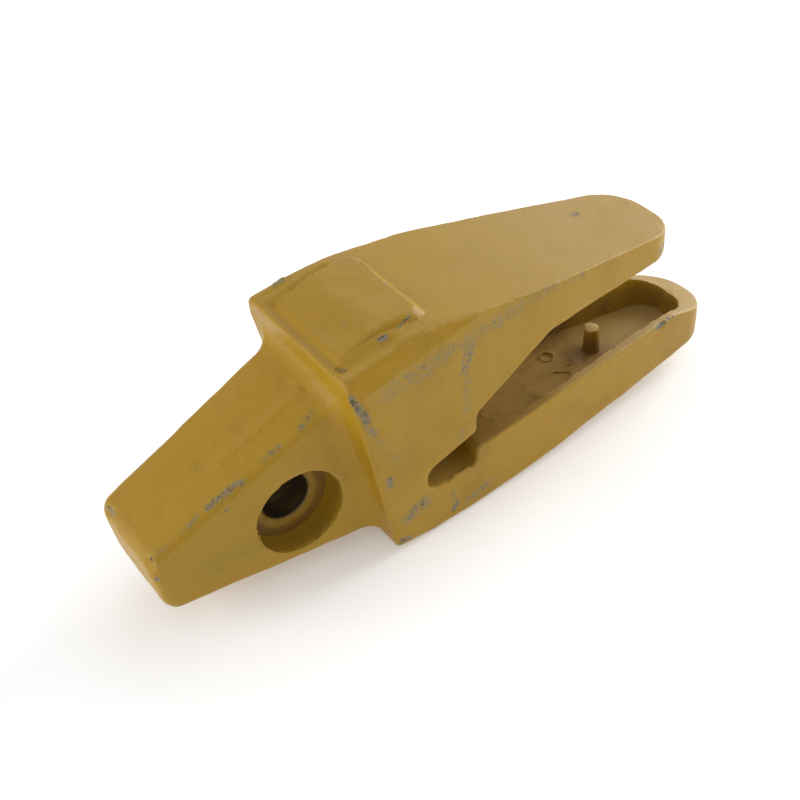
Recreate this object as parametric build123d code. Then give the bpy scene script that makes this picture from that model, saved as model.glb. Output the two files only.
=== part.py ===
from build123d import *
import os
from math import atan, cos, degrees, pi, radians, sin, tan

os.makedirs("parts", exist_ok=True)

# Frame: millimetres, the origin on the pin axis in the mid plane of the casting.
# +X runs from the nose towards the two straps, along the lip plate that they straddle.
# +Y runs along the pin towards the plain side, and +Z is square to the lip plate.

# Pin bore and the round pocket for the retainer on the -Y side
pin_radius = 11.0
pocket_radius = 20.4
pocket_floor_y = -15.3
bore_edge_break = 1.8

# Nose: a wedge that droops below the lip plate, with a three-part roof
nose_front_x = -69.0
nose_roof_z = 43.4
nose_roof_slope = 25.1
nose_floor_z = -27.6
nose_floor_slope = -3.9
nose_side_y = 27.1
nose_side_slope = 2.3
roof_flat_half_width = 11.5
roof_drop_front = 0.3
roof_drop_rear = 2.4
roof_flat_spread = 0.2
nose_edge_radius = 5.0
ridge_radius = 2.0

# Rounded tip and the flare at the root of the nose
tip_length = 6.0
tip_lean = 9.6
tip_side = 4.8
tip_edge = 5.0
flare_length = 8.0
flare_side = 8.5
flare_top = 4.5
flare_bottom = 1.2
flare_root = 4.0
round_steps = 5

# Shoulder and body
shoulder_lean = 10.7
shoulder_x = 32.0
shoulder_edge_radius = 3.0
strap_edge_radius = 1.8
crest_radius = 5.0
keel_radius = 3.5

# Deck: the top line of the body and of the upper strap
deck_front_z = 69.0
deck_rise = 11.2
deck_radius = 75.0
strap_ref = (104.0, 68.3)
strap_fall = 8.4

# Belly: the bottom line of the body and of the lower strap
belly_front_z = -36.4
belly_z = -39.3
belly_flat_start = 62.0
belly_flat_end = 98.0
belly_radius = 160.0
lower_end_z = -27.4

# Plan outline of the straps, with a soft knee in each side
body_half_width = 44.0
side_knee = (135.0, 33.9)
side_closing_angle = 7.7
knee_radius = 500.0
upper_strap_end = 219.0
lower_strap_end = 250.6
upper_end_radius = 21.5
lower_end_radius = 20.5

# Crowned deck and the leaning panels beside it
crown_half_width = 29.0
crown_slope = 11.0
crown_end_x = 102.0
panel_low = (21.0, 42.6, 57.5)
panel_high = (39.0, 37.8, 69.8)
panel_tail = (102.0, 37.4, 68.4)

# Pad on the deck behind the shoulder
pad_front = (24.0, 69.9)
pad_knee = (46.0, 77.0)
pad_rear = (66.5, 77.7)
pad_rear_slope = 48.0
pad_top_half_width = 26.7
pad_flank = 31.0
pad_corner_radius = 9.0
pad_edge_radius = 4.0
pad_top_radius = 40.0
pad_sunk = 4.5

# Slot for the lip plate, with its bevel and its throat
lip_lower_z = -0.6
lip_upper_z = 38.4
lip_bevel = 28.0
lip_front_x = 87.5
lip_front_z = 15.5
throat_end_x = 58.3
throat_top_z = 5.4
throat_top_slope = 13.4
throat_floor_z = -13.4
throat_floor_rise = 1.2
throat_step_x = 85.5
throat_step_lean = 0.8
rim_front_z = -3.6
rim_level_x = 134.0
rim_drop_x = 219.0
rim_drop = 16.5
rim_edge_radius = 2.0

# Recess in the inner face of the lower strap, with its peg
rim_width = 7.2
recess_floor_z = -18.6
recess_front_x = 104.0
recess_end_x = 234.3
recess_end_radius = 12.0
recess_draft = 6.0
recess_corner_radius = 8.0
recess_cut_height = 25.0
peg_x = 186.0
peg_radius = 5.0
peg_top_z = -4.9
peg_draft = 3.0
root_depth = 2.0

# Plain foundry marks on the recess floor
mark_height = 0.9
ring_place = (164.1, 8.3)
ring_radius = 4.0
ring_band = 1.2
dot_place = (169.4, -3.0)
dot_radius = 1.0
bar_place = (162.6, -5.1)
bar_turn = -33.0
bar_length = 8.6
bar_width = 1.8

# Size of the blocks that other shapes are cut with, larger than the casting
reach = 300.0
half_reach = 70.0


def quarter_round():
    """Steps of a quarter round, each as a share of its length and the share of its height still to go."""
    turns = [0.5 * pi * k / round_steps for k in range(round_steps + 1)]
    return [(1.0 - cos(turn), 1.0 - sin(turn)) for turn in turns]


def side_solid(points, corners=()):
    """Push a side view in X and Z out to both sides, rounding some of its corners."""
    face = make_face(Polyline(*points, close=True))
    for (x, z), radius in corners:
        near = [v for v in face.vertices() if abs(v.X - x) + abs(v.Y - z) < 0.05]
        face = fillet(near, radius)
    return extrude(Plane.XZ * face, half_reach, both=True)


def crossing(point_a, rise_a, point_b, rise_b):
    """Where two lines in the side view meet, each given by a point and its rise in degrees."""
    slope_a = tan(radians(rise_a))
    slope_b = tan(radians(rise_b))
    x = (point_b[1] - point_a[1] + slope_a * point_a[0] - slope_b * point_b[0]) / (slope_a - slope_b)
    return x, point_a[1] + slope_a * (x - point_a[0])


def along(point, rise, x):
    """Point at x on the line through point that rises by the angle in degrees."""
    return x, point[1] + tan(radians(rise)) * (x - point[0])


def nose_section(x, lean, side=0.0, top=0.0, bottom=0.0):
    """Cross section of the nose in a plane through (x, 0, 0) that leans by some degrees."""
    plane = Plane(origin=(x, 0, 0), x_dir=(0, 1, 0), z_dir=(cos(radians(lean)), 0, sin(radians(lean))))
    c = cos(radians(lean))
    s = sin(radians(lean))

    def height(z_at_zero, slope):
        m = tan(radians(slope))
        return (z_at_zero + m * x) / (c + m * s)

    def half_width(h):
        return nose_side_y + tan(radians(nose_side_slope)) * (x - h * s)

    roof = height(nose_roof_z, nose_roof_slope)
    floor = height(nose_floor_z, nose_floor_slope)
    share = (x - nose_front_x) / (shoulder_x - nose_front_x)
    drop = roof_drop_front + (roof_drop_rear - roof_drop_front) * share
    flat = roof_flat_half_width + roof_flat_spread * side
    upper = half_width(roof) + side
    lower = half_width(floor) + side
    points = [
        (-lower, floor - bottom),
        (lower, floor - bottom),
        (upper, roof - drop + top),
        (flat, roof + top),
        (-flat, roof + top),
        (-upper, roof - drop + top),
    ]
    face = make_face(Polyline(*points, close=True))
    ridges = [v for v in face.vertices() if abs(abs(v.X) - flat) < 0.01]
    face = fillet(ridges, ridge_radius)
    outer = [v for v in face.vertices() if abs(v.X) > upper - 0.01 or abs(v.X) > lower - 0.01]
    face = fillet(outer, nose_edge_radius)
    return plane * face


def nose():
    """The wedge of the nose with its rounded tip and with the flare at its root."""
    tip = []
    for length, inset in quarter_round():
        x = nose_front_x + tip_length * length
        tip.append(nose_section(x, tip_lean, -tip_side * inset, -tip_edge * inset, -tip_edge * inset))
    flare = []
    for length, spread in reversed(quarter_round()):
        x = shoulder_x - flare_length * length
        growth = (flare_side * spread, flare_top * spread, flare_bottom * spread)
        flare.append(nose_section(x, shoulder_lean, *growth))
    flare.append(nose_section(shoulder_x + flare_root, shoulder_lean, flare_side, flare_top, flare_bottom))
    middle = [tip[-1], flare[0]]
    return loft(tip, ruled=True) + loft(middle, ruled=True) + loft(flare, ruled=True)


def plan_outline(end_x, radius, inset=0.0):
    """Plan of a strap: straight sides that close in from a soft knee to a rounded end."""
    knee_x, knee_y = side_knee
    end_y = knee_y - tan(radians(side_closing_angle)) * (end_x - knee_x)
    near_side = [(0.0, inset - body_half_width), (knee_x, inset - knee_y), (end_x, inset - end_y)]
    far_side = [(x, -y) for x, y in reversed(near_side)]
    face = make_face(Polyline(*near_side, *far_side, close=True))
    knees = [v for v in face.vertices() if abs(v.X - knee_x) < 0.1]
    face = fillet(knees, knee_radius)
    corners = [v for v in face.vertices() if v.X > end_x - 0.1]
    return fillet(corners, radius)


def shoulder_point(z):
    """Point on the leaning front plane of the shoulder at the height z."""
    return shoulder_x - tan(radians(shoulder_lean)) * z, z


def deck_corner():
    """Where the rising deck meets the falling top of the upper strap."""
    return crossing(shoulder_point(deck_front_z), deck_rise, strap_ref, -strap_fall)


def body_profile():
    """Side view of the body with both straps as one block, before the slot is cut."""
    corner = deck_corner()
    keel = (belly_flat_end, belly_z)
    lower_end = (lower_strap_end, lower_end_z)
    points = [
        shoulder_point(belly_front_z),
        shoulder_point(deck_front_z),
        corner,
        along(strap_ref, -strap_fall, lower_strap_end),
        lower_end,
        keel,
        (belly_flat_start, belly_z),
    ]
    return side_solid(points, [(corner, deck_radius), (keel, belly_radius)])


def crown(side):
    """Everything under the outward slope of the deck on one side of the casting."""
    front = shoulder_point(deck_front_z)
    corner = deck_corner()
    crown_edge_z = along(strap_ref, -strap_fall, crown_end_x)[1]
    end = (crown_end_x, crown_edge_z + tan(radians(crown_slope)) * (panel_tail[1] - crown_half_width))
    rise = degrees(atan((end[1] - corner[1]) / (end[0] - corner[0])))
    points = [
        (-half_reach, -reach),
        along(front, deck_rise, -half_reach),
        corner,
        along(corner, rise, reach),
        (reach, -reach),
    ]
    face = make_face(Polyline(*points, close=True))
    ridge = [v for v in face.vertices() if abs(v.X - corner[0]) < 0.01]
    face = fillet(ridge, deck_radius)
    lift = (half_reach + crown_half_width) * tan(radians(crown_slope))
    plane = Plane(origin=(0, -side * half_reach, lift), x_dir=(1, 0, 0), z_dir=(0, -1, 0))
    down = Vector(0, side * cos(radians(crown_slope)), -sin(radians(crown_slope)))
    return extrude(plane * face, 2 * half_reach, dir=down)


def half_space(a, b, c, side):
    """Big block on the outer side of the plane through three points, for one side."""
    points = [Vector(p[0], side * p[1], p[2]) for p in (a, b, c)]
    normal = (points[1] - points[0]).cross(points[2] - points[0]).normalized()
    if normal.Y * side < 0:
        normal = -normal
    plane = Plane(origin=points[0], z_dir=normal)
    return plane * Box(2 * reach, 2 * reach, half_reach, align=(Align.CENTER, Align.CENTER, Align.MIN))


def body():
    """The body and both straps, shaped from the side and from above."""
    block = body_profile() & extrude(plan_outline(lower_strap_end, lower_end_radius), reach, both=True)
    middle_z = 0.5 * (lip_lower_z + lip_upper_z)
    above = Pos(0, 0, middle_z) * Box(2 * reach, reach, reach, align=(Align.CENTER, Align.CENTER, Align.MIN))
    block = block - (above - extrude(plan_outline(upper_strap_end, upper_end_radius), reach))
    block = soften(block, [e for e in block.edges() if is_strap_top_edge(e)], strap_edge_radius)
    block = soften(block, [e for e in block.edges() if is_keel_edge(e)], keel_radius)
    for side in (1, -1):
        block = block & crown(side)
        block = block - half_space(panel_low, panel_high, panel_tail, side)
    block = soften(block, [e for e in block.edges() if is_crest_edge(e)], crest_radius)
    return soften(block, [e for e in block.edges() if is_shoulder_edge(e)], shoulder_edge_radius)


def is_strap_top_edge(edge):
    """Whether an edge runs round the top of the upper strap."""
    c = edge.center()
    at_end = c.X > upper_strap_end - 0.1
    return c.Z > 50 and c.X > 50 and (abs(c.Y) > 4 or at_end)


def is_keel_edge(edge):
    """Whether an edge runs round the bottom of the body and of the lower strap."""
    c = edge.center()
    return c.Z < -10 and c.X > 41 and abs(c.Y) > 3 and abs(edge.tangent_at(0.5).Z) < 0.5


def is_crest_edge(edge):
    """Whether an edge lies between the crowned deck and a leaning panel."""
    c = edge.center()
    on_crest = panel_tail[1] - 2.1 < abs(c.Y) < panel_high[1] + 0.5
    return on_crest and 30 < c.X < 90 and 67 < c.Z < 73.5 and edge.length > 15


def is_shoulder_edge(edge):
    """Whether an edge lies in the leaning front plane of the shoulder."""
    return all(abs(p.X - shoulder_point(p.Z)[0]) < 0.05 for p in (edge @ 0, edge @ 0.5, edge @ 1))


def is_rim_edge(edge):
    """Whether an edge is the outer edge of the lower strap's inner face."""
    c = edge.center()
    return c.X > lip_front_x and -15 < c.Z < 0 and abs(edge.tangent_at(0.5).Z) < 0.7


def soften(solid, edges, radius):
    """Round the edges, with a smaller radius where the full one does not fit."""
    for share in (1.0, 0.8, 0.6, 0.4, 0.25):
        try:
            rounded = solid.fillet(radius * share, edges)
        except (RuntimeError, ValueError):
            continue
        if rounded.is_valid and abs(rounded.volume - solid.volume) < 0.05 * solid.volume:
            return rounded
    return solid


def pad():
    """Raised pad on the deck, flat on top, with sloping flanks and a rounded rear."""
    corner = deck_corner()
    sunk = (corner[0], corner[1] - pad_sunk)
    low_rear = along(sunk, -strap_fall, pad_rear[0])
    points = [
        along(sunk, deck_rise, pad_front[0] - 2.0),
        pad_front,
        pad_knee,
        pad_rear,
        crossing(pad_rear, -pad_rear_slope, low_rear, -strap_fall),
        sunk,
    ]
    block = side_solid(points, [(pad_knee, pad_top_radius)])
    spread = tan(radians(pad_flank))
    for side in (1, -1):
        top_front = (pad_front[0], pad_top_half_width, pad_front[1])
        top_rear = (pad_rear[0], pad_top_half_width, pad_rear[1])
        foot = (pad_front[0], pad_top_half_width + 10.0 * spread, pad_front[1] - 10.0)
        block = block - half_space(top_front, top_rear, foot, side)
    behind = [e for e in block.edges() if e.center().X > pad_rear[0] + 0.5]
    block = soften(block, [e for e in behind if abs(e.tangent_at(0.5).Z) > 0.4], pad_corner_radius)
    uses = {}
    for face in block.faces():
        if face.normal_at().Z > 0.85:
            for edge in face.edges():
                uses.setdefault(hash(edge), []).append(edge)
    rim = [e[0] for e in uses.values() if len(e) == 1 and e[0].center().X > pad_front[0] + 1]
    return soften(block, rim, pad_edge_radius)


def lip_slot():
    """The slot for the lip plate with its bevel, and the throat in front of it."""
    end = (reach, lip_upper_z)
    bevel_top = crossing((lip_front_x, lip_front_z), lip_bevel, end, 0.0)
    front_top = (lip_front_x, lip_front_z)
    front_low = (lip_front_x, throat_top_z)
    throat_top = along(front_low, throat_top_slope, throat_end_x)
    throat_low = (throat_end_x, throat_floor_z + throat_floor_rise)
    step_low = (throat_step_x, throat_floor_z)
    step_top = (throat_step_x + throat_step_lean, rim_front_z)
    level = (rim_level_x, lip_lower_z)
    drop = (rim_drop_x, lip_lower_z)
    points = [end, bevel_top, front_top, front_low, throat_top, throat_low, step_low, step_top, level,
              drop, along(drop, -rim_drop, reach)]
    corners = [
        (bevel_top, 14.0),
        (front_top, 5.0),
        (front_low, 3.5),
        (throat_top, 4.6),
        (throat_low, 4.6),
        (step_low, 4.0),
        (step_top, 3.5),
        (level, 60.0),
        (drop, 40.0),
    ]
    return side_solid(points, corners)


def recess():
    """Hollow in the inner face of the lower strap, inside a rim of even width."""
    outline = plan_outline(recess_end_x, recess_end_radius, rim_width)
    outline = outline & Pos(recess_front_x + reach / 2, 0) * Rectangle(reach, reach)
    corners = [v for v in outline.vertices() if v.X < recess_front_x + 1.0]
    outline = fillet(corners, recess_corner_radius)
    return extrude(Pos(0, 0, recess_floor_z) * outline, recess_cut_height, taper=-recess_draft)


def peg():
    """Small drafted peg that stands on the floor of the recess."""
    height = peg_top_z - recess_floor_z + root_depth
    return extrude(Pos(peg_x, 0, recess_floor_z - root_depth) * Circle(peg_radius), height, taper=peg_draft)


def bores():
    """Pin bore right through the nose, and the round pocket on the -Y side."""
    from_floor = (Align.CENTER, Align.CENTER, Align.MIN)
    floor = Plane(origin=(0, pocket_floor_y, 0), z_dir=(0, -1, 0))
    through = Plane.XZ * Cylinder(pin_radius, 2 * half_reach)
    pocket = floor * Cylinder(pocket_radius, half_reach, align=from_floor)
    wide = pin_radius + 2 * bore_edge_break
    bevel = Cone(pin_radius, wide, 2 * bore_edge_break, align=from_floor)
    return through + pocket + floor * Pos(0, 0, -bore_edge_break) * bevel


def marks():
    """Plain foundry marks on the floor of the recess: a ring, a dot and a short bar."""
    base = Pos(0, 0, recess_floor_z - root_depth)
    ring = Pos(*ring_place) * (Circle(ring_radius) - Circle(ring_radius - ring_band))
    dot = Pos(*dot_place) * Circle(dot_radius)
    bar = Pos(*bar_place) * Rot(0, 0, bar_turn) * SlotOverall(bar_length, bar_width)
    return [base * extrude(shape, root_depth + mark_height) for shape in (ring, dot, bar)]


def adapter_casting():
    """The whole casting: body and pad, slot, recess with its peg and marks, nose and bores."""
    casting = body() + pad() - lip_slot()
    casting = soften(casting, [e for e in casting.edges() if is_rim_edge(e)], rim_edge_radius)
    casting = casting - recess() + peg()
    for mark in marks():
        casting = casting + mark
    casting = casting + nose() - bores()
    return casting.solids()[0]


if __name__ == "__main__":
    export_step(adapter_casting(), "parts/adapter_casting.step")
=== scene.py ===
# %% [markdown]
# A weld-on adapter holds one digging tooth on the lip of an excavator bucket.
# The real thing is a single steel casting with yellow paint over its rough skin, so the whole
# lesson is about one surface: how it was cast, how it was painted and how it was knocked about.
# The frame brings the casting with its exact shape, and the finished skin stays inside its box.

# %% The frame and the box that it has to stay in
import math

import bmesh
import bpy
import numpy as np
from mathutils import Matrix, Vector


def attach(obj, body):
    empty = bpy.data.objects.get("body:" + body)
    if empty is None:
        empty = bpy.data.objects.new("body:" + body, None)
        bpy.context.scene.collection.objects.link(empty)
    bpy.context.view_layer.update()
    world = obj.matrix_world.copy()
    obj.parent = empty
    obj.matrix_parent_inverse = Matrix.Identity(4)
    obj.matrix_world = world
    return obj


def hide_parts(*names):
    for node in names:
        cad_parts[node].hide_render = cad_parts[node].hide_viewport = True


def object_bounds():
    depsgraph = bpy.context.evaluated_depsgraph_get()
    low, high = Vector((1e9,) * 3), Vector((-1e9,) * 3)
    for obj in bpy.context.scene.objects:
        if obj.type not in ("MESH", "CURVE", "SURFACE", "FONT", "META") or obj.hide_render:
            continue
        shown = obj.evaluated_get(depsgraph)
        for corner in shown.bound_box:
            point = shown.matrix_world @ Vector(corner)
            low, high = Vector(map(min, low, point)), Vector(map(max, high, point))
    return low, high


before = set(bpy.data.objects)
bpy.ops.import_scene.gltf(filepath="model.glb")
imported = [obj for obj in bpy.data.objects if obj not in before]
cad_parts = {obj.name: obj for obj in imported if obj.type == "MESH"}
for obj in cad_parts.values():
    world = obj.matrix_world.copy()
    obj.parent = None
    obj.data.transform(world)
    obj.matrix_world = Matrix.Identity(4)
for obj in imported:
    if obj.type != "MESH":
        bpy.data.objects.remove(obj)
cad_low, cad_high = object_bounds()
MM = 0.001
print("casting box in mm:", [round(v / MM, 1) for v in (*cad_low, *cad_high)])

# %% [markdown]
# The camera comes first, because every later choice is judged through it. It looks down on the
# near side at about 40 degrees, from roughly 60 centimetres away, with a moderate lens.
# A camera is placed by where it stands and by how it is turned, here as three angles in degrees.

# %% Camera
CAMERA_PLACE = (-0.1911, -0.4087, 0.4193)
CAMERA_TURN = (49.668, 2.792, -35.010)
CAMERA_LENS = 62.9
CAMERA_SENSOR = 36.0

camera_data = bpy.data.cameras.new("camera")
camera_data.lens = CAMERA_LENS
camera_data.sensor_width = CAMERA_SENSOR
camera = bpy.data.objects.new("camera", camera_data)
camera.location = CAMERA_PLACE
camera.rotation_euler = [math.radians(a) for a in CAMERA_TURN]
bpy.context.scene.collection.objects.link(camera)
bpy.context.scene.camera = camera
print("camera stands at", CAMERA_PLACE)

# %% [markdown]
# The casting was photographed on a white table that glows a little, so there is hardly a shadow.
# The strongest lamp stands low on the right, beyond the straps: it grazes the sides, and the
# shoulder keeps it off the side of the nose. A second one on the left lights the faces that lean
# towards the tip, and weak ones behind and above give the tops their sheen and light the hollow.

# %% Floor
FLOOR_SIZE = 8.0
TABLE_WHITE = (0.94, 0.94, 0.94, 1)
TABLE_ROUGHNESS = 0.9
TABLE_GLOSS = 0.1
TABLE_GLOW = 0.20

bpy.ops.object.select_all(action="DESELECT")
bpy.ops.mesh.primitive_plane_add(size=FLOOR_SIZE, location=(0, 0, cad_low.z))
floor = bpy.context.object
floor.name = "floor"
white_table = bpy.data.materials.new("white_table")
white_table.use_nodes = True
table_inputs = white_table.node_tree.nodes["Principled BSDF"].inputs
table_inputs["Base Color"].default_value = TABLE_WHITE
table_inputs["Roughness"].default_value = TABLE_ROUGHNESS
table_inputs["Specular IOR Level"].default_value = TABLE_GLOSS
table_inputs["Emission Color"].default_value = (1, 1, 1, 1)
table_inputs["Emission Strength"].default_value = TABLE_GLOW
floor.data.materials.append(white_table)
print("floor lies at", round(cad_low.z / MM, 1), "mm")

# %% Lamps: a turn round the part and a rise above it in degrees, and a power in watts
LAMPS = {
    "lamp_right": (3, 20, 14.0),
    "lamp_left": (166, 18, 8.2),
    "lamp_near_left": (232, 50, 1.3),
    "lamp_near_right": (328, 18, 2.0),
    "lamp_back": (62, 40, 2.0),
    "lamp_above": (20, 65, 0.7),
}
LAMP_REACH = 1.3
LAMP_SIZE = 0.9


def soft_lamp(name, turn, rise, power):
    """A round lamp that faces the part, from the direction turn and the height rise in degrees."""
    lamp_data = bpy.data.lights.new(name, "AREA")
    lamp_data.shape = "DISK"
    lamp_data.size = LAMP_SIZE
    lamp_data.energy = power
    turn = math.radians(turn)
    rise = math.radians(rise)
    flat = math.cos(rise)
    way = Vector((math.cos(turn) * flat, math.sin(turn) * flat, math.sin(rise)))
    lamp = bpy.data.objects.new(name, lamp_data)
    lamp.location = (cad_low + cad_high) / 2 + way * LAMP_REACH
    lamp.rotation_euler = way.to_track_quat("Z", "Y").to_euler()
    bpy.context.scene.collection.objects.link(lamp)


for name, (turn, rise, power) in LAMPS.items():
    soft_lamp(name, turn, rise, power)
print(len(LAMPS), "lamps, the strongest of", max(power for turn, rise, power in LAMPS.values()), "watts")

# %% Room
ROOM_LIGHT = 0.45

room = bpy.data.worlds.new("white_room")
room.use_nodes = True
room_inputs = room.node_tree.nodes["Background"].inputs
room_inputs["Color"].default_value = (1, 1, 1, 1)
room_inputs["Strength"].default_value = ROOM_LIGHT
bpy.context.scene.world = room
bpy.context.scene.view_settings.view_transform = "Standard"
print("a white room of strength", ROOM_LIGHT)

# %% [markdown]
# A sand mould never gives a flat face: the sand moves a little, the steel shrinks as it cools, and
# the skin ends up gently uneven. The frame's mesh has only the few long triangles that a flat face
# needs, so there is nothing in the middle of a face that could be moved.
# The skin is a copy of that mesh. Its doubled points are merged, flat areas are joined, and then
# it is cut along a grid of planes with bisect, which leaves every real edge where it is.

# %% A copy of the casting
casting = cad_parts["adapter_casting"]
skin = bpy.data.objects.new("casting_skin", casting.data.copy())
skin.data.materials.clear()
bpy.context.scene.collection.objects.link(skin)
bpy.ops.object.select_all(action="DESELECT")
skin.select_set(True)
bpy.context.view_layer.objects.active = skin
bpy.ops.mesh.customdata_custom_splitnormals_clear()
print("copied", len(skin.data.polygons), "loose triangles")

# %% Small cells all over the copy
CELL = 3.0 * MM
CELL_START = 0.47
DOUBLED = 0.02 * MM
FLAT_DEGREES = 0.4
ON_THE_PLANE = 0.01 * MM
SLIVER = 0.05 * MM
NEARLY_FLAT_DEGREES = 4.0

bpy.ops.object.mode_set(mode="EDIT")
bpy.ops.mesh.select_all(action="SELECT")
bpy.ops.mesh.remove_doubles(threshold=DOUBLED)
bpy.ops.mesh.dissolve_limited(angle_limit=math.radians(FLAT_DEGREES))
for axis in range(3):
    cuts = int((cad_high[axis] - cad_low[axis]) / CELL)
    for k in range(cuts):
        point = [0.0, 0.0, 0.0]
        normal = [0.0, 0.0, 0.0]
        point[axis] = cad_low[axis] + CELL * (k + CELL_START)
        normal[axis] = 1.0
        bpy.ops.mesh.select_all(action="SELECT")
        bpy.ops.mesh.bisect(plane_co=point, plane_no=normal, threshold=ON_THE_PLANE)
bpy.ops.mesh.select_all(action="SELECT")
bpy.ops.mesh.quads_convert_to_tris(quad_method="BEAUTY", ngon_method="BEAUTY")
bpy.ops.mesh.dissolve_degenerate(threshold=SLIVER)
bpy.ops.mesh.beautify_fill(angle_limit=math.radians(NEARLY_FLAT_DEGREES))
bpy.ops.object.mode_set(mode="OBJECT")
print("skin has", len(skin.data.polygons), "faces")

# %% [markdown]
# Chips and scuffs sit in known places, but their outline is ragged. So each place is a stroke, a
# short line with a radius in mm, and a pull that makes chipping more likely near it. Noise in the
# paint decides later where it really breaks. The strokes come first, as they need fine cells.

# %% Worn places: two ends of a line, a radius and a pull
CHIPPED = {
    "nose_edge_high": ((12, -23, 47), (6, -25, 44), 3.2, 0.26),
    "nose_edge_middle": ((-5, -24, 39), (-12, -24, 36), 2.8, 0.25),
    "nose_edge_line": ((-24, -24, 30), (-39, -22, 24), 3.6, 0.31),
    "nose_edge_low": ((-44, -22, 21), (-51, -22, 18), 3.0, 0.25),
    "nose_edge_end": ((-60, -22, 14), (-64, -22, 12), 2.6, 0.20),
    "nose_side_spot": ((-32, -26, 21), (-33, -26, 20), 1.8, 0.34),
    "tip_pit_upper": ((-67, -21, 10), (-67, -21, 9.5), 1.6, 0.70),
    "tip_pit_lower": ((-67, -23, 0), (-67, -23, -0.5), 1.5, 0.60),
    "tip_patch_far": ((-68, 12, 10), (-68, 17, 10), 3.2, 0.28),
    "shoulder_corner": ((21, -41, 61), (28, -42, 47), 4.0, 0.34),
    "shoulder_edge": ((28, -42, 44), (31, -42, 38), 3.6, 0.28),
    "side_front": ((33, -41, 33), (41, -41, 18), 6.0, 0.17),
    "side_low": ((37, -41, 8), (37, -41, 5), 4.0, 0.32),
    "side_foot": ((45, -40, -20), (55, -40, -17), 7.5, 0.28),
    "side_foot_light": ((72, -38, -26), (72, -38, -22), 3.4, 0.26),
    "side_foot_dark": ((72, -38, -32), (74, -38, -30), 3.4, 0.38),
    "side_under_mouth": ((80, -38, -32), (92, -37, -29), 5.0, 0.27),
    "belly_corner": ((41, -41, -32), (45, -41, -33), 3.6, 0.34),
    "side_band_front": ((39, -41, 55), (61, -39, 57), 10.0, 0.225),
    "side_band_rear": ((60, -39, 58), (90, -37, 60), 8.0, 0.225),
    "side_streak_high": ((84, -38, 56), (80, -38, 44), 6.0, 0.27),
    "side_streak_low": ((81, -38, 42), (81, -38, 22), 5.0, 0.21),
    "side_streak_end": ((78, -38, 12), (77, -38, 6), 3.4, 0.22),
    "side_patch": ((97, -36, 60), (112, -34, 62), 8.0, 0.23),
    "side_patch_rear": ((118, -34, 63), (132, -34, 62), 4.0, 0.22),
    "strap_spot": ((181, 12, 57), (184, 12, 57), 3.2, 0.34),
    "strap_end_spot": ((212, 8, 52), (212, 9, 52), 2.2, 0.26),
    "strap_edge_spot": ((140, -31, 60), (150, -31, 59), 4.0, 0.25),
    "strap_flank_spot": ((205, -24, 44), (212, -21, 45), 4.0, 0.30),
    "rim_knock": ((207, -24, -2), (213, -23, -2), 2.6, 0.42),
    "rim_knock_rear": ((216, -22, -1), (219, -21, -2), 2.4, 0.30),
    "pocket_rim": ((-19.5, -26, -4), (-15, -26, -14), 2.2, 0.25),
    "pad_spot": ((38, -11, 74), (38, -12, 74), 2.0, 0.30),
    "pad_edge_spot": ((44, -28, 73), (47, -29, 74), 2.6, 0.36),
    "pad_near_spot": ((40, -25, 73), (43, -25, 74), 2.0, 0.30),
    "pad_front_spot": ((24, -29, 69), (26, -31, 69), 2.6, 0.36),
    "pad_crack": ((47, -29, 73), (61, -27, 76), 0.9, 0.42),
    "pad_rear_edge": ((65, 12, 77), (65, -4, 77), 2.0, 0.22),
    "flash_scar": ((31, 33, 70), (36, 33, 72), 2.4, 0.30),
}
print(len(CHIPPED), "worn places, up to", max(place[2] for place in CHIPPED.values()), "mm wide")

# %% [markdown]
# The pad, the ridge on the nose, the mouth of the slot and every worn place carry marks that are
# narrower than a cell. Only the faces there are picked, by their middle, and subdivided, and the
# middles of the worn places are subdivided once more.


# %% Which faces are near a worn place
def line_distance(points, start, end):
    """Distance in mm from every point to the line between two places, also in mm."""
    start = np.array(start, float)
    line = np.array(end, float) - start
    away = points / MM - start
    share = np.clip(away @ line / (line @ line), 0.0, 1.0)
    return np.linalg.norm(away - share[:, None] * line, axis=1)


def face_middles():
    middles = np.empty(len(skin.data.polygons) * 3)
    skin.data.polygons.foreach_get("center", middles)
    return middles.reshape(-1, 3)


def near_wear(middles, widest, margin):
    """True within a margin of a worn place, which counts as no wider than the widest, all in mm."""
    near = np.zeros(len(middles), bool)
    for start, end, radius, pull in CHIPPED.values():
        near |= line_distance(middles, start, end) < min(radius, widest) + margin
    return near


print(int(near_wear(face_middles(), 10.0, 1.5).sum()), "faces are near a worn place")

# %% Finer cells where the small marks are
FINE_ZONES = {
    "pad": ((17, -38, 62), (70, 34, 90)),
    "nose_top": ((-62, -25, 12), (16, 8, 60)),
    "slot_mouth": ((60, -44, -18), (92, -33, 4)),
}


def subdivide_faces(picked):
    bpy.ops.object.mode_set(mode="EDIT")
    bpy.ops.mesh.select_mode(type="FACE")
    bpy.ops.mesh.select_all(action="DESELECT")
    bpy.ops.object.mode_set(mode="OBJECT")
    skin.data.polygons.foreach_set("select", picked)
    bpy.ops.object.mode_set(mode="EDIT")
    bpy.ops.mesh.subdivide(number_cuts=1)
    bpy.ops.mesh.select_all(action="SELECT")
    bpy.ops.mesh.quads_convert_to_tris(quad_method="BEAUTY", ngon_method="BEAUTY")
    bpy.ops.object.mode_set(mode="OBJECT")
    print(int(picked.sum()), "faces subdivided, now", len(skin.data.polygons))


middles = face_middles()
picked = near_wear(middles, 10.0, 1.5)
for low, high in FINE_ZONES.values():
    picked |= ((middles > np.array(low) * MM) & (middles < np.array(high) * MM)).all(axis=1)
subdivide_faces(picked)
subdivide_faces(near_wear(face_middles(), 3.0, 0.3))

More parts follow.
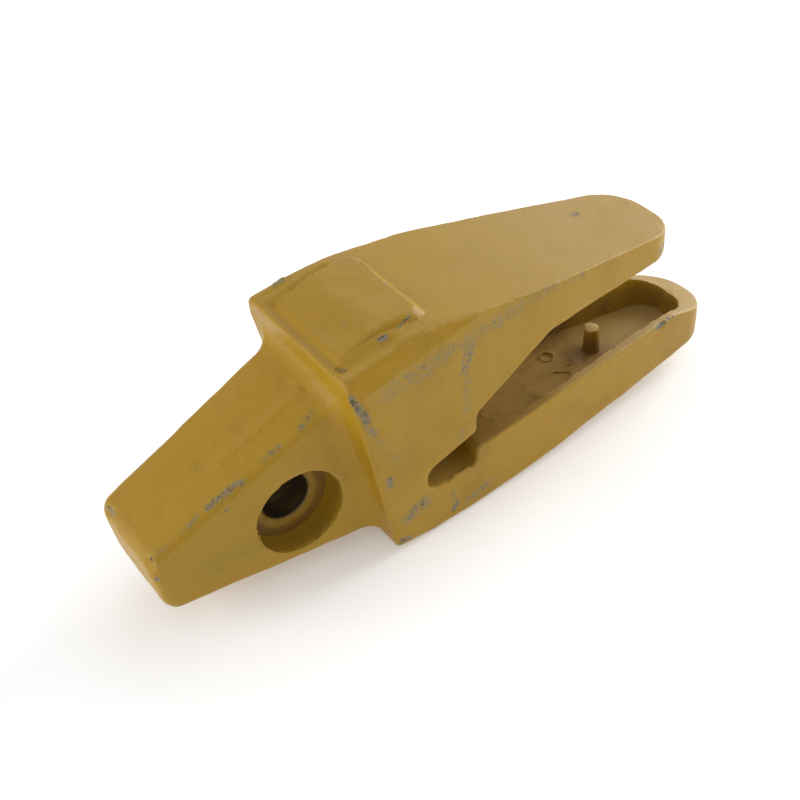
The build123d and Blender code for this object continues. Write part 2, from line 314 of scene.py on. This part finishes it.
# %% [markdown]
# Paint rubs off first where the surface sticks out, and a pale painted highlight is laid there too.
# That is measured here, once, on the mesh: at each point, how far its neighbours fall away behind
# the tangent plane. The answer is smoothed and kept with the mesh as an attribute, so the paint can
# ask for it later.
# A material can look for edges by itself too, but a bevel node is slow to render, and pointiness
# is only as smooth as the mesh. Creases are measured in the same way, with the sign turned, and
# get a painted shade.


# %% Helpers that read the mesh
def mesh_arrays():
    """The skin's points, their normals, and the two ends of every edge."""
    mesh = skin.data
    points = np.empty(len(mesh.vertices) * 3)
    mesh.vertices.foreach_get("co", points)
    normals = np.empty(len(mesh.vertices) * 3)
    mesh.vertices.foreach_get("normal", normals)
    ends = np.empty(len(mesh.edges) * 2, int)
    mesh.edges.foreach_get("vertices", ends)
    return points.reshape(-1, 3), normals.reshape(-1, 3), ends.reshape(-1, 2)


def neighbour_mean(values, ends, weights):
    total = np.zeros(len(values))
    share = np.zeros(len(values))
    for a, b in ((0, 1), (1, 0)):
        np.add.at(total, ends[:, a], values[ends[:, b]] * weights)
        np.add.at(share, ends[:, a], weights)
    return total / np.maximum(share, 1e-12)


def keep_with_mesh(name, values):
    attribute = skin.data.attributes.new(name, "FLOAT", "POINT")
    attribute.data.foreach_set("value", values.astype(np.float32))


print("skin has", len(mesh_arrays()[2]), "edges")

# %% How sharp or how hollow the skin is at each point
SHARP_BEND = 0.30 / MM
CREASE_BEND = 0.15 / MM
SMOOTHING_PASSES = 3
SHORTEST_EDGE = 0.2 * MM


def mark_bend(name, sign, full_bend):
    """Keep how much the skin bends at each point: sign 1 for edges, -1 for creases."""
    points, normals, ends = mesh_arrays()
    along = points[ends[:, 1]] - points[ends[:, 0]]
    length = np.maximum(np.linalg.norm(along, axis=1), SHORTEST_EDGE)
    fall = np.zeros(len(points))
    share = np.zeros(len(points))
    for end, way in ((0, -1.0), (1, 1.0)):
        bend = way * (along * normals[ends[:, end]]).sum(axis=1) / length
        np.add.at(fall, ends[:, end], bend)
        np.add.at(share, ends[:, end], length)
    bend = np.clip(sign * 2.0 * fall / np.maximum(share, 1e-12) / full_bend, 0.0, 1.0)
    for _ in range(SMOOTHING_PASSES):
        bend = 0.5 * bend + 0.5 * neighbour_mean(bend, ends, length)
    keep_with_mesh(name, bend)
    print(name, "is over 0.4 on", round(100 * float((bend > 0.4).mean()), 1), "percent of the points")


mark_bend("sharpness", 1.0, SHARP_BEND)
mark_bend("crease", -1.0, CREASE_BEND)

# %% How near each point is to a worn place
WEAR_PLATEAU = 1.25
WEAR_STRENGTH = 0.84

points = mesh_arrays()[0]
wear = np.zeros(len(points))
for start, end, radius, pull in CHIPPED.values():
    near = np.clip(WEAR_PLATEAU * (1.0 - line_distance(points, start, end) / radius), 0.0, 1.0)
    wear = np.maximum(wear, WEAR_STRENGTH * pull * near * near * (3.0 - 2.0 * near))
keep_with_mesh("wear", wear)
print("wear reaches", round(float(wear.max()), 2))

# %% [markdown]
# Now the skin is moved, only ever inwards, so that it never leaves the casting's box.
# Two clouds of noise are used, as two Displace modifiers: wide shallow hollows from the mould, and
# a tighter unevenness from the sand. Grain finer than the cells is left to the paint's bump.

# %% Uneven cast surface: the size of a cloud, how deep it sinks and its octaves
CLOUDS = {
    "mould_hollows": (26 * MM, 0.75 * MM, 1),
    "sand_waves": (7 * MM, 0.38 * MM, 2),
}
SMOOTH_DEGREES = 38


def sink_by_clouds(name, feature, depth, octaves):
    clouds = bpy.data.textures.new(name, "CLOUDS")
    clouds.noise_scale = feature
    clouds.noise_depth = octaves
    displace = skin.modifiers.new(name, "DISPLACE")
    displace.texture = clouds
    displace.texture_coords = "LOCAL"
    displace.direction = "NORMAL"
    displace.mid_level = 1.0
    displace.strength = depth
    bpy.ops.object.modifier_apply(modifier=name)


for name, (feature, depth, octaves) in CLOUDS.items():
    sink_by_clouds(name, feature, depth, octaves)
bpy.ops.object.shade_smooth_by_angle(angle=math.radians(SMOOTH_DEGREES))
deepest = sum(depth for feature, depth, octaves in CLOUDS.values())
print("skin moved by at most", round(deepest / MM, 2), "mm")

# %% [markdown]
# The foundry and the yard left their own marks. The pad stands on a deck that dips along its
# front and near edge, the nose has a low ridge with a shallow groove beside it, the mouth of the
# slot is ragged, and a lump of flash sits on the far corner. Each mark is a smooth push on the
# points near a line, along one direction, as a sculptor's grab brush would do. The brush itself
# needs a window and a hand, so its fall-off is worked out here for all points at once.

# %% Ridges, grooves, lumps and dents: two ends of a line, a radius and a shift, in mm
PUSHES = {
    "pad_front_groove": ((23.6, 24, 69), (23.0, -30, 69), 3.6, (0.3, 0.0, -1.3)),
    "pad_near_groove": ((26, -32, 70), (46, -32.5, 73), 6.0, (0.0, 0.4, -1.5)),
    "pad_near_groove_rear": ((44, -32, 73), (62, -31, 75), 4.0, (0.0, 0.2, -0.6)),
    "pad_far_groove": ((25, 24, 70), (54, 28, 74), 3.6, (0.0, -0.2, -1.3)),
    "pad_front_lip": ((27, 20, 71), (26.5, -25, 71), 2.6, (0.0, 0.0, 0.45)),
    "pad_near_lip": ((28, -26, 71), (46, -26.5, 75), 3.4, (0.0, 0.0, 0.4)),
    "pad_corner_pit": ((24, -29, 69), (25, -30, 69), 2.8, (0.3, 0.3, -1.2)),
    "pad_dip_front": ((34, -8, 73), (38, -6, 74), 13.0, (0.0, 0.0, -0.7)),
    "pad_dip_rear": ((52, 6, 77), (54, -4, 77), 10.0, (0.0, 0.0, -0.5)),
    "deck_crease": ((82, -14, 74), (96, -17, 72), 2.6, (0.0, 0.0, -0.7)),
    "deck_dip": ((92, 8, 71), (98, 2, 70), 18.0, (0.0, 0.0, -0.7)),
    "strap_dip": ((170, -4, 58), (180, 0, 57), 18.0, (0.0, 0.0, -0.6)),
    "flash_lump": ((36, 34, 71), (34, 33.5, 71), 3.6, (0.0, 0.2, 1.7)),
    "flash_lump_tail": ((32, 34, 70), (28, 33, 69), 2.6, (-0.2, 0.3, 1.0)),
    "nose_ridge": ((14, -11, 50), (-26, -9, 31), 3.4, (0.0, 0.0, 0.75)),
    "nose_ridge_end": ((-26, -9, 31), (-50, -8, 20), 3.0, (0.0, 0.0, 0.35)),
    "nose_groove": ((12, -3, 49), (-30, -2, 29), 6.0, (0.0, 0.0, -0.9)),
    "nose_groove_far": ((8, 6, 47), (-34, 5, 27), 5.0, (0.0, 0.0, -0.5)),
    "mouth_lump": ((73, -38, -14), (75, -38, -14.5), 2.6, (0.0, 0.0, 2.0)),
    "mouth_lump_rear": ((79, -37.5, -14.5), (81, -37.5, -14.5), 2.8, (0.0, 0.3, 1.6)),
    "mouth_notch": ((69, -38.5, -14), (69.5, -38.5, -14), 2.0, (0.0, 0.0, -0.9)),
    "rim_knock": ((209, -24, -2), (212, -23.5, -2), 3.0, (0.0, 0.8, -0.6)),
    "shoulder_knock": ((23, -42, 60), (27, -42, 52), 3.2, (0.5, 0.9, -0.2)),
    "tip_knock": ((-68, -21, 8), (-68, -22, 6), 3.6, (0.8, 0.3, -0.3)),
    "tip_knock_far": ((-68, 14, 10), (-68, 16, 9), 3.4, (0.7, 0.0, -0.5)),
    "nose_side_hollow": ((-38, -27, 2), (-30, -27, 12), 14.0, (0.0, 0.5, 0.0)),
    "side_hollow": ((60, -40, 30), (56, -40, 20), 20.0, (0.0, 0.6, 0.0)),
}
INSIDE_THE_BOX = 0.02 * MM

points = mesh_arrays()[0]
for start, end, radius, shift in PUSHES.values():
    share = np.clip(1.0 - (line_distance(points, start, end) / radius) ** 2, 0.0, 1.0) ** 2
    points = points + share[:, None] * np.array(shift) * MM
points = np.clip(points, np.array(cad_low) + INSIDE_THE_BOX, np.array(cad_high) - INSIDE_THE_BOX)
skin.data.vertices.foreach_set("co", points.ravel())
skin.data.update()
print(len(PUSHES), "marks pushed into the skin")

# %% [markdown]
# Pushing thin triangles along their normals can fold a few of them over a sharp edge, which shows
# as a tiny spike on the outline. A fold is an edge whose two faces turn by more than a right
# angle, which the casting has nowhere. No select operator asks for that angle, so these edges are
# picked in code, and then smoothed in edit mode, a few times over.

# %% Smooth the folded slivers
FOLD_DEGREES = 100
FOLD_ROUNDS = 5

for _ in range(FOLD_ROUNDS):
    bpy.ops.object.mode_set(mode="EDIT")
    bpy.ops.mesh.select_mode(type="VERT")
    bpy.ops.mesh.select_all(action="DESELECT")
    edit_mesh = bmesh.from_edit_mesh(skin.data)
    inner = [e for e in edit_mesh.edges if len(e.link_faces) == 2]
    folded = [e for e in inner if e.calc_face_angle(0.0) > math.radians(FOLD_DEGREES)]
    for edge in folded:
        edge.select_set(True)
    bmesh.update_edit_mesh(skin.data)
    bpy.ops.mesh.vertices_smooth(factor=0.6, repeat=2)
    bpy.ops.object.mode_set(mode="OBJECT")
    print(len(folded), "folded edges smoothed")

# %% [markdown]
# The paint is one material with several layers, mixed from the bottom up: yellow paint that is
# never one exact yellow, a paler painted sheen on what faces up, painted shade and brown dirt in
# the hollow of the long strap, chips that show blue-grey steel, and a near-black painted shade in
# the bore. A node tree gets hard to read when it is wired by hand, so a few small helpers add the
# nodes and return their output.

# %% Helpers that add nodes to the paint
paint = bpy.data.materials.new("painted_casting")
paint.use_nodes = True
tree = paint.node_tree
shader = tree.nodes["Principled BSDF"]


def feed(socket, value):
    """Link a socket to another node's output, or set it to a number, a vector or a colour."""
    if isinstance(value, bpy.types.NodeSocket):
        tree.links.new(value, socket)
    else:
        socket.default_value = value


def add(kind, inputs=None, **settings):
    made = tree.nodes.new(kind)
    for key, value in settings.items():
        setattr(made, key, value)
    for key, value in (inputs or {}).items():
        feed(made.inputs[key], value)
    return made


def maths(operation, a, b=0.0, clamp=False):
    return add("ShaderNodeMath", {0: a, 1: b}, operation=operation, use_clamp=clamp).outputs[0]


def times(first, *others):
    for other in others:
        first = maths("MULTIPLY", first, other)
    return first


def larger(a, b):
    return maths("MAXIMUM", a, b)


def ramp(value, low, high, out_low=0.0, out_high=1.0):
    inputs = {"Value": value, "From Min": low, "From Max": high, "To Min": out_low, "To Max": out_high}
    return add("ShaderNodeMapRange", inputs, interpolation_type="SMOOTHSTEP").outputs[0]


def blend(share, under, over):
    """The colour under with the colour over laid on it, by a share from 0 to 1."""
    made = add("ShaderNodeMix", data_type="RGBA")
    sockets = {socket.name: socket for socket in made.inputs if socket.enabled}
    feed(sockets["Factor"], share)
    feed(sockets["A"], under if isinstance(under, bpy.types.NodeSocket) else (*under, 1))
    feed(sockets["B"], over if isinstance(over, bpy.types.NodeSocket) else (*over, 1))
    return next(socket for socket in made.outputs if socket.enabled)


print("node helpers ready for", paint.name)

# %% [markdown]
# Every layer needs to know where it is. Object coordinates are metres in the part's own frame, so
# they stay put on the casting, and noise on them is the same size all over. Some layers belong to
# one spot only: a stroke says how near a point is to a short line, and a few strokes are enough
# to place the painted shade and dirt in the slot, the pocket's painted shade and the bore's.

# %% Where a point is on the part
coordinates = add("ShaderNodeTexCoord")
place_on_part = coordinates.outputs["Object"]
facing = add("ShaderNodeSeparateXYZ", {0: coordinates.outputs["Normal"]}).outputs
where = add("ShaderNodeSeparateXYZ", {0: place_on_part}).outputs


def between(axis, start, end, out_start=0.0, out_end=1.0):
    """Rises from out_start to out_end between two places along an axis, in mm."""
    return ramp(where[axis], start * MM, end * MM, out_start, out_end)


def noise(scale, detail=3.0, roughness=0.55, distortion=0.0):
    inputs = {"Vector": place_on_part, "Scale": scale, "Detail": detail}
    inputs.update({"Roughness": roughness, "Distortion": distortion})
    return add("ShaderNodeTexNoise", inputs, noise_dimensions="3D").outputs[0]


def nearness(start, end, radius, inner=0.0):
    """1 up to the inner distance from the line and 0 beyond the radius, all in mm."""
    a = Vector(start) * MM
    line = (Vector(end) - Vector(start)) * MM
    unit = line / line.length_squared
    offset = add("ShaderNodeVectorMath", {0: place_on_part, 1: a}, operation="SUBTRACT").outputs[0]
    dot = add("ShaderNodeVectorMath", {0: offset, 1: unit}, operation="DOT_PRODUCT").outputs["Value"]
    share = maths("ADD", dot, 0.0, clamp=True)
    foot = add("ShaderNodeVectorMath", {0: line, "Scale": share}, operation="SCALE").outputs[0]
    offset = add("ShaderNodeVectorMath", {0: offset, 1: foot}, operation="SUBTRACT").outputs[0]
    away = add("ShaderNodeVectorMath", {0: offset}, operation="LENGTH").outputs["Value"]
    return ramp(away, inner * MM, radius * MM, 1.0, 0.0)


def measured(name):
    """A value that was kept with the mesh."""
    return add("ShaderNodeAttribute", attribute_name=name).outputs["Fac"]


print("paint starts with", len(tree.nodes), "nodes")

# %% [markdown]
# Paint breaks in flakes, and each flake has a ragged edge with specks round it. Two noises are
# added up, one for flakes of about 2 mm and one for specks, and the wear and the sharpness of the
# mesh lift their sum. Where it is high the paint is gone, and just below that it is only thin.

# %% Chips: where the paint has broken
FLAKE_SHARE = 0.55
SPECK_SHARE = 0.45
EDGE_SHARE = 0.05
CHIP_LEVELS = (0.715, 0.80)
CHIP_COVER = 0.85
THIN_LEVELS = (0.58, 0.76)

sharp = measured("sharpness")
flake_noise = noise(520.0, 5.0, 0.68, 0.3)
speck_noise = noise(1500.0, 2.0, 0.6)
ragged = maths("ADD", times(flake_noise, FLAKE_SHARE), times(speck_noise, SPECK_SHARE))
ragged = maths("ADD", ragged, times(sharp, EDGE_SHARE))
ragged = maths("ADD", ragged, measured("wear"))
chip = times(ramp(ragged, *CHIP_LEVELS), CHIP_COVER)
thin = ramp(ragged, *THIN_LEVELS)
print("paint breaks between", CHIP_LEVELS[0], "and", CHIP_LEVELS[1])

# %% Paint: a yellow that is never quite the same
PAINT_YELLOW = (0.378, 0.216, 0.010)
PAINT_DEEP = (0.325, 0.180, 0.008)
PAINT_BRIGHT = (0.420, 0.246, 0.014)
# A pale colour for the painted sheen on the tops and the rim, and for rubbed edges with their painted
# highlight.
PALE_SHEEN_AND_RUB = (0.410, 0.276, 0.098)

blotch = noise(28.0, 4.0, 0.6)
mottle = noise(210.0, 3.0, 0.6)
colour = blend(ramp(blotch, 0.45, 0.75), PAINT_YELLOW, PAINT_DEEP)
colour = blend(times(ramp(mottle, 0.50, 0.75), 0.35), colour, PAINT_BRIGHT)

# Painted sheen: faces that look up turn paler, more so towards the end of the long strap.
looks_up = ramp(facing["Z"], 0.60, 0.97)
towards_end = between("X", 40, 215, 0.15, 1.0)
painted_sheen = times(looks_up, towards_end, ramp(blotch, 0.30, 0.62, 0.75, 1.0))
colour = blend(painted_sheen, colour, PALE_SHEEN_AND_RUB)
print("paint has", len(tree.nodes), "nodes so far")

# %% [markdown]
# Painted shade, with some patchy dirt, darkens every crease, the floor and walls of the long
# strap's hollow, the front of the slot and the pin pocket. The rim of that hollow gets a pale
# painted sheen on what faces up, and the inside of the bore is painted near black as shade.
# Every layer of painted shade and dirt is a product of limits, so that none of it shows on the outer
# sides.

# %% The room between the straps
spread = maths("ADD", maths("ABSOLUTE", where["Y"]), times(where["X"], 0.1))
within = times(ramp(spread, 41 * MM, 39 * MM), between("X", 245, 243))
above_floor = times(between("Z", -19.8, -19.2), between("Z", 3, 1))
in_slot = times(above_floor, between("X", 84, 88))
print("slot is marked off behind X 84 mm")

# %% Painted shade and dirt in the slot and in the hollow
RECESS_SHADE_AND_DIRT = (0.235, 0.132, 0.020)
DARK_SHADE_AND_DIRT = (0.100, 0.046, 0.016)

patch_noise = noise(95.0, 4.0, 0.6)
patchy = ramp(patch_noise, 0.25, 0.75, 0.60, 1.0)
# Painted shade with some patchy dirt: the slot floor darkens towards its front, under the short strap,
# and the walls of the hollow darken too.
slot_floor = times(ramp(facing["Z"], 0.3, 0.9), between("X", 112, 150, 0.95, 0.10))
walls = ramp(maths("ABSOLUTE", facing["Z"]), 0.8, 0.4, 0.0, 0.85)
hollow = times(within, between("Z", -5, -10))
hollow = times(hollow, larger(walls, between("X", 165, 215, 0.95, 0.30)))
slot_shade_and_dirt = times(larger(slot_floor, hollow), in_slot)
colour = blend(times(slot_shade_and_dirt, patchy), colour, RECESS_SHADE_AND_DIRT)

# Painted shadow beside the peg, painted shade along the far wall, and dark patches over the floor of the
# hollow.
peg_shadow = nearness((178, 1, -19), (187, -4, -19), 12.0, 4.0)
far_wall_shade = nearness((120, 24, -12), (180, 22, -12), 14.0, 6.0)
deep = times(larger(peg_shadow, far_wall_shade), times(hollow, in_slot))
deep = larger(deep, times(hollow, ramp(patch_noise, 0.50, 0.72, 0.0, 0.55)))
colour = blend(times(deep, in_slot, 0.60), colour, DARK_SHADE_AND_DIRT)
print("dirt lies in the slot, paint has", len(tree.nodes), "nodes so far")

# %% Shade in the throat, in the pocket and in the creases
throat = nearness((64, -30, -8), (84, -30, -8), 14.0, 9.0)
throat = times(throat, between("Y", -39.5, -36))
pocket = times(nearness((0, -32, 0), (0, -19, 0), 21.2, 20.2), between("Y", -26, -24.5))
collar = ramp(nearness((0, -32, 0), (0, -19, 0), 17.5, 14.5), 0.0, 1.0, 0.66, 0.30)
# Painted shade in the throat, at the mouth of the slot.
colour = blend(times(throat, 0.45), colour, RECESS_SHADE_AND_DIRT)
# Painted shade in the pin pocket, strongest towards its wall, and in every crease.
shaded = larger(times(pocket, collar), times(ramp(measured("crease"), 0.25, 0.9), 0.30))
colour = blend(shaded, colour, DARK_SHADE_AND_DIRT)
print("pocket and throat are shaded")

# %% Painted sheen on the rim, a stain on the nose, and rubbed edges with a painted highlight
OLIVE_STAIN = (0.250, 0.190, 0.030)
THIN_PAINT = (0.260, 0.195, 0.060)

# Painted sheen on the rim's faces that look up, paler towards the end of the strap, as on the tops.
rim_sheen = times(in_slot, between("Z", -9, -3))
rim_sheen = times(rim_sheen, between("X", 140, 215, 0.0, 0.8))
colour = blend(times(rim_sheen, ramp(facing["Z"], 0.3, 0.9)), colour, PALE_SHEEN_AND_RUB)
stain = times(nearness((-20, -26, -7), (-46, -25, -7), 9.0), ramp(mottle, 0.3, 0.6))
colour = blend(times(stain, 0.6), colour, OLIVE_STAIN)
# Rubbed paint on sharp edges, which also lays a pale painted highlight along them.
rubbed_and_highlit = times(sharp, ramp(mottle, 0.35, 0.7, 0.1, 0.5))
colour = blend(rubbed_and_highlit, colour, PALE_SHEEN_AND_RUB)
colour = blend(times(thin, 0.6), colour, THIN_PAINT)
print("paint has", len(tree.nodes), "nodes so far")

# %% Steel in the chips and a painted shade in the bore
STEEL = (0.120, 0.118, 0.100)
STEEL_LIGHT = (0.270, 0.262, 0.225)
RUST = (0.060, 0.035, 0.020)
BORE_DARK = (0.014, 0.014, 0.009)

steel = blend(ramp(speck_noise, 0.45, 0.65), STEEL, STEEL_LIGHT)
steel = blend(ramp(noise(700.0, 2.0), 0.55, 0.62), steel, RUST)
colour = blend(chip, colour, steel)
# Painted shade: the inside of the bore is painted near black.
bore_shade = nearness((0, -20, 0), (0, 32, 0), 12.4, 11.4)
colour = blend(times(bore_shade, 0.95), colour, BORE_DARK)
tree.links.new(colour, shader.inputs["Base Color"])
print("colour has", len(tree.nodes), "nodes")

# %% [markdown]
# Gloss and grain finish it. Thick enamel over sand grain looks like orange peel: soft bumps of
# about two millimetres with a finer grain on top. Chips are a step down, and they are rougher.

# %% Gloss and grain
GLOSS = 0.26
BARE_ROUGHNESS = 0.75
GRAIN_STRENGTH = 0.5
GRAIN_DEPTH = 0.6 * MM

shader.inputs["Specular IOR Level"].default_value = GLOSS
roughness = ramp(mottle, 0.3, 0.7, 0.38, 0.48)
roughness = larger(roughness, times(larger(chip, larger(shaded, slot_shade_and_dirt)), BARE_ROUGHNESS))
tree.links.new(roughness, shader.inputs["Roughness"])

peel = noise(420.0, 3.0, 0.5)
grain = noise(1700.0, 2.0, 0.5)
height = maths("ADD", times(peel, 0.8), times(grain, 0.2))
height = maths("SUBTRACT", height, times(chip, 0.45))
bump_inputs = {"Strength": GRAIN_STRENGTH, "Distance": GRAIN_DEPTH, "Height": height}
bump = add("ShaderNodeBump", bump_inputs).outputs[0]
tree.links.new(bump, shader.inputs["Normal"])
skin.data.materials.append(paint)
print("material has", len(tree.nodes), "nodes")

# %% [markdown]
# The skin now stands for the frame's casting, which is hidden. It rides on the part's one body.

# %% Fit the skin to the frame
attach(skin, "root")
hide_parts("adapter_casting")
